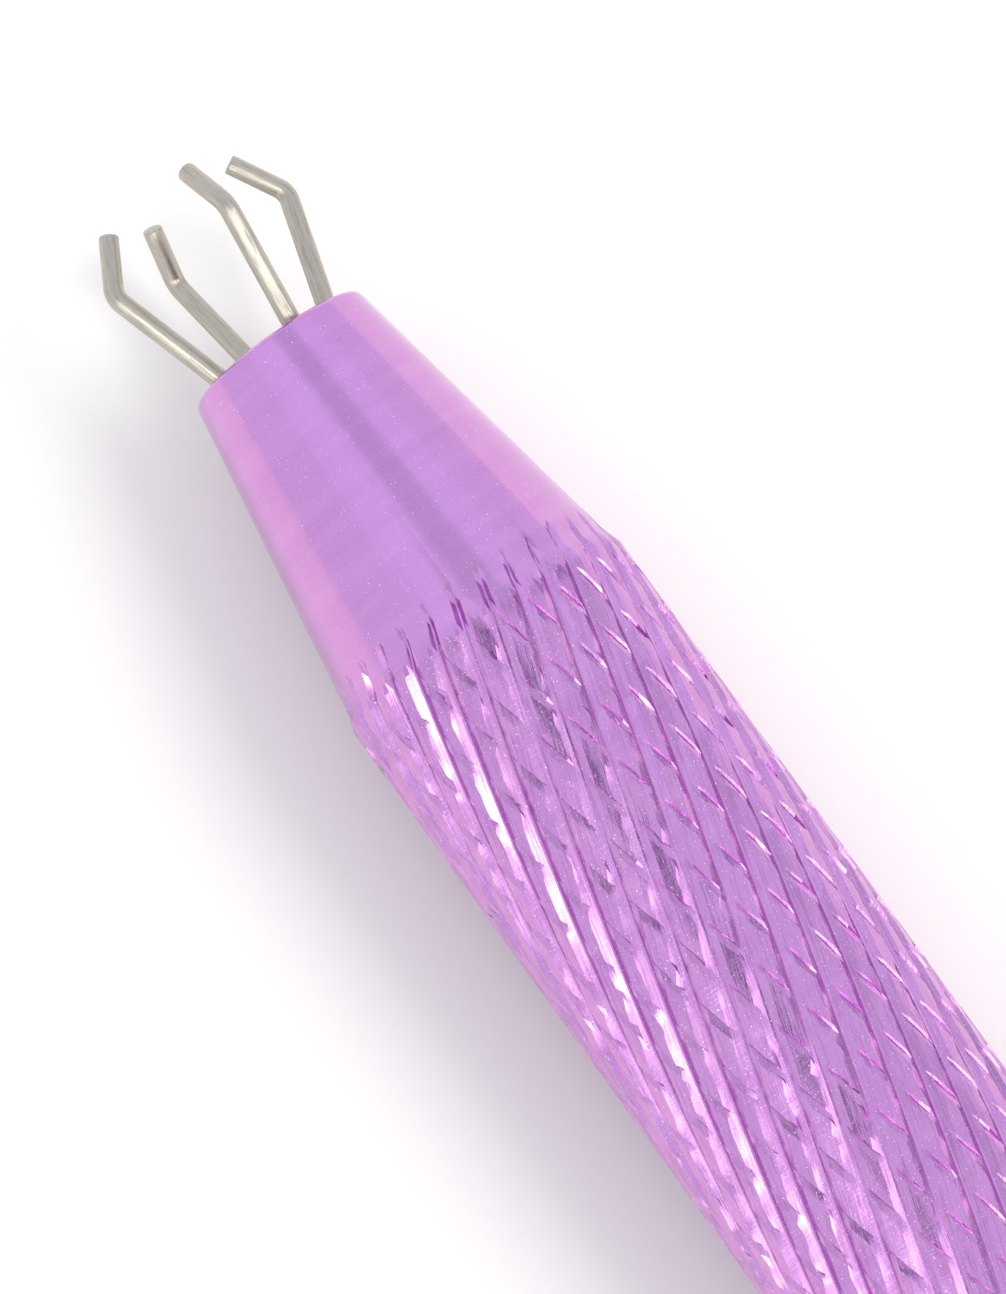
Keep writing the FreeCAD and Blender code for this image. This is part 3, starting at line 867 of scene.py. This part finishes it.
class PICKUP_OT_return_spring(ToolOperator, bpy.types.Operator):
    """Wind the return spring as one fixed coil, though the real spring shortens as the plunger goes
    forward
    """

    bl_idname = "pick_up_tool.return_spring"
    bl_label = "Return spring"

    STEPS = 32  # in each turn of the coil
    SIDES = 12

    def execute(self, context):
        sizes, finishes = self.settings.spring, self.settings.finishes
        radius = (sizes.diameter - sizes.wire) / 2
        span = SPRING_HIGH.x - SPRING_LOW.x - sizes.wire
        wound = np.linspace(0, 1, self.STEPS * sizes.turns + 1)
        turns = wound * sizes.turns * 2 * math.pi
        nothing = np.zeros_like(turns)
        outward = np.column_stack([nothing, np.cos(turns), np.sin(turns)])
        onward = np.column_stack([nothing, -np.sin(turns), np.cos(turns)]) * radius
        onward[:, 0] = span / (sizes.turns * 2 * math.pi)
        sideways = np.cross(onward, outward)
        sideways /= np.linalg.norm(sideways, axis=1)[:, None]
        centres = outward * radius
        centres[:, 0] = SPRING_LOW.x + sizes.wire / 2 + wound * span
        centres[:, 2] += AXIS_Z
        section = even_turns(self.SIDES)
        circle = np.cos(section)[:, None] * outward[:, None]
        circle = circle + np.sin(section)[:, None] * sideways[:, None]
        rows = centres[:, None] + circle * (sizes.wire / 2)
        caps = [np.repeat(centre[None], self.SIDES, axis=0) for centre in (centres[0], centres[-1])]
        rows = [caps[0], *rows, caps[1]]
        piece = new_piece(
            "return_spring_coil",
            np.concatenate(rows).tolist(),
            net(rows).tolist(),
            sharp=40,
            body=None,
            material=turned_metal("spring_steel", finishes.spring, finishes.spring_gloss),
            node="return_spring",
        )
        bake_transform(piece)
        return {"FINISHED"}


class PICKUP_OT_inner_pieces(ToolOperator, bpy.types.Operator):
    """Give the pieces inside the barrel their metals"""

    bl_idname = "pick_up_tool.inner_pieces"
    bl_label = "Inner pieces"

    def execute(self, context):
        finishes = self.settings.finishes
        brass = turned_metal("turned_brass", finishes.brass, finishes.brass_gloss)
        pin = turned_metal("ground_pin_steel", finishes.pin, finishes.pin_gloss)
        metals = {
            "rod_guide": brass,
            "stop_collar": brass,
            "claw_block": brass,
            "push_rod": nickel_plate(finishes),
            "block_pin": pin,
            "collar_pin": pin,
            "button_pin": pin,
        }
        for node, metal in metals.items():
            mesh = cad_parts[node].data
            mesh.materials.clear()
            mesh.materials.append(metal)
        return {"FINISHED"}


class PICKUP_OT_stage(ToolOperator, bpy.types.Operator):
    """Set the camera, light and pale floor"""

    bl_idname = "pick_up_tool.stage"
    bl_label = "Stage"

    LAMP_SLOPE = (0.26, 0.55, 0.79)  # from the nose towards the lamp
    CARDS = (
        # name, slopes along X, slopes across, glow at each of those, tint, upright
        (
            "nose_card",
            (-1.1, -0.4),
            (-0.8, -0.65, -0.07, 0.1, 0.48, 0.56, 1.4),
            (1.0, 1.04, 1.07, 0.79, 0.82, 1.03, 1.0),
            (0.92, 0.97, 1.12),
            False,
        ),
        ("grey_card", (-0.38, -0.22), (-1.6, 1.2), (0.7, 0.7), (0.95, 0.98, 1.07), False),
        ("dark_card", (-0.22, -0.02), (-0.12, 0.08), (0.13, 0.13), (0.35, 0.45, 1.0), False),
        (
            "key_card",
            (0.07, 0.24),
            (-0.75, -0.62, -0.5, -0.28, -0.16, 0.05, 0.25),
            (1.0, 1.6, 5.0, 6.0, 2.4, 1.4, 1.0),
            (1.0, 1.0, 1.0),
            False,
        ),
        (
            "wire_card",
            (0.38, 0.68),
            (-2.2, -0.5, 0.5, 2.2),
            (2.2, 3.6, 3.6, 2.2),
            (1.0, 1.0, 1.0),
            False,
        ),
        ("low_card", (-0.02, 0.25), (0.0, 0.25), (0.5, 0.5), (0.85, 0.72, 1.0), True),
        ("corner_card", (-0.28, -0.2), (0.02, 0.7), (0.3, 0.3), (0.5, 0.55, 1.0), True),
    )

    def execute(self, context):
        sizes = self.settings.stage
        self.camera(sizes)
        self.floor(sizes)
        self.sky(sizes)
        for card in self.CARDS:
            self.card(*card)
        self.lamp(sizes)
        context.scene.view_settings.view_transform = "Standard"
        context.scene.view_settings.look = "None"
        return {"FINISHED"}

    def camera(self, sizes):
        heading, elevation = sizes.heading, sizes.elevation
        right = Vector((-math.sin(heading), math.cos(heading), 0.0))
        level = Vector((math.cos(heading), math.sin(heading), 0.0))
        back = level * math.cos(elevation) + Vector((0.0, 0.0, math.sin(elevation)))
        up = back.cross(right)
        mouth = Vector((MOUTH_X, 0.0, AXIS_Z))
        aim = mouth + right * sizes.aim_right - up * sizes.aim_down
        data = bpy.data.cameras.new("camera")
        data.lens = sizes.lens
        data.sensor_width = 36.0
        data.clip_start = 0.005
        data.clip_end = 20.0
        camera = bpy.data.objects.new("camera", data)
        bpy.context.scene.collection.objects.link(camera)
        turn = Matrix((right, up, back)).transposed().to_4x4()
        camera.matrix_world = Matrix.Translation(aim + back * sizes.distance) @ turn
        bpy.context.scene.camera = camera

    def floor(self, sizes):
        """A pale floor, faintly mottled, 6 m across."""
        mesh = bpy.data.meshes.new("floor")
        half = 3.0
        corners = [(-half, -half, 0), (half, -half, 0), (half, half, 0), (-half, half, 0)]
        mesh.from_pydata(corners, [], [(0, 1, 2, 3)])
        recipe = Recipe("pale_floor")
        mottle = recipe.noise(recipe.place(), 60.0)
        darker = tuple(part * 0.985 for part in sizes.floor)
        base = recipe.mixed(tuple(sizes.floor), darker, mottle)
        mesh.materials.append(recipe.finish(Base_Color=base, Roughness=0.9))
        floor = bpy.data.objects.new("floor", mesh)
        bpy.context.scene.collection.objects.link(floor)

    def sky(self, sizes):
        world = bpy.data.worlds.new("sky")
        world.use_nodes = True
        back = world.node_tree.nodes["Background"]
        back.inputs["Color"].default_value = (*sizes.sky, 1.0)
        bpy.context.scene.world = world

    def card(self, name, along, across, glows, tint, upright):
        """A glowing card far off, which the polished metal mirrors.

        Along and across are slopes from the nose, against Z or, for an upright
        card, against Y.
        """
        low, high = across[0], across[-1]
        x0, x1 = (MOUTH_X + CARD_HEIGHT * slope for slope in along)
        y0, y1 = CARD_HEIGHT * low, CARD_HEIGHT * high
        corners = [(x0, y0), (x1, y0), (x1, y1), (x0, y1)]
        if upright:
            corners = [(x, CARD_HEIGHT, y) for x, y in corners]
        else:
            corners = [(x, y, CARD_HEIGHT) for x, y in corners]
        mesh = bpy.data.meshes.new(name)
        mesh.from_pydata(corners, [], [(0, 1, 2, 3)])
        recipe = Recipe(name)
        _, y, z = recipe.split(recipe.place())
        position = ((z if upright else y) - y0) * (1 / (y1 - y0))
        places = [(slope - low) / (high - low) for slope in across]
        stops = list(zip(places, (glow / CARD_GLOW for glow in glows)))
        glow = recipe.add("ShaderNodeValToRGB", {"stops": stops}, {0: position})
        black = (0.0, 0.0, 0.0)
        light = recipe.mixed(black, tint, glow)
        mesh.materials.append(
            recipe.finish(Base_Color=black, Emission_Color=light, Emission_Strength=CARD_GLOW)
        )
        card = bpy.data.objects.new(name, mesh)
        card.visible_diffuse = False
        bpy.context.scene.collection.objects.link(card)

    def lamp(self, sizes):
        """A square lamp beside the nose, which the metal doesn't mirror."""
        data = bpy.data.lights.new("side_lamp", "AREA")
        data.shape = "SQUARE"
        data.size = sizes.lamp_size
        data.energy = sizes.lamp_glow * math.pi * sizes.lamp_size**2
        lamp = bpy.data.objects.new("side_lamp", data)
        bpy.context.scene.collection.objects.link(lamp)
        heading = Vector(self.LAMP_SLOPE).normalized()
        nose = Vector((MOUTH_X + 5 * MM, 0.0, AXIS_Z))
        lamp.location = nose + heading * sizes.lamp_distance
        lamp.rotation_euler = heading.to_track_quat("Z", "Y").to_euler()
        lamp.visible_glossy = False


class PICKUP_PT_sidebar(bpy.types.Panel):
    """The tool's pieces and stage, in the 3D view's sidebar"""

    bl_idname = "PICKUP_PT_sidebar"
    bl_label = "Pick-up tool"
    bl_space_type = "VIEW_3D"
    bl_region_type = "UI"
    bl_category = "Pick-up tool"

    def draw(self, context):
        layout = self.layout
        for operator in OPERATORS:
            layout.operator(operator.bl_idname)
        settings = context.scene.pick_up_tool
        for group, name in GROUP_NAMES.items():
            box = layout.box()
            box.label(text=name.capitalize())
            for size in group.__annotations__:
                box.prop(getattr(settings, name), size)


GROUP_NAMES = {
    BarrelSizes: "barrel",
    KnurlSizes: "knurl",
    ClawSizes: "claws",
    BushSizes: "bush",
    ButtonSizes: "button",
    SpringSizes: "spring",
    Finishes: "finishes",
    StageSizes: "stage",
}
OPERATORS = (
    PICKUP_OT_stage,
    PICKUP_OT_barrel,
    PICKUP_OT_claws,
    PICKUP_OT_rear_bush,
    PICKUP_OT_push_button,
    PICKUP_OT_return_spring,
    PICKUP_OT_inner_pieces,
)
CLASSES = (*GROUP_NAMES, ToolSettings, *OPERATORS, PICKUP_PT_sidebar)


def register():
    for cls in CLASSES:
        bpy.utils.register_class(cls)
    bpy.types.Scene.pick_up_tool = PointerProperty(type=ToolSettings)


def unregister():
    del bpy.types.Scene.pick_up_tool
    for cls in reversed(CLASSES):
        bpy.utils.unregister_class(cls)


def main():
    register()
    bpy.ops.pick_up_tool.stage()
    bpy.ops.pick_up_tool.barrel()
    bpy.ops.pick_up_tool.claws()
    bpy.ops.pick_up_tool.rear_bush()
    bpy.ops.pick_up_tool.push_button()
    bpy.ops.pick_up_tool.return_spring()
    bpy.ops.pick_up_tool.inner_pieces()


if __name__ == "__main__":
    main()
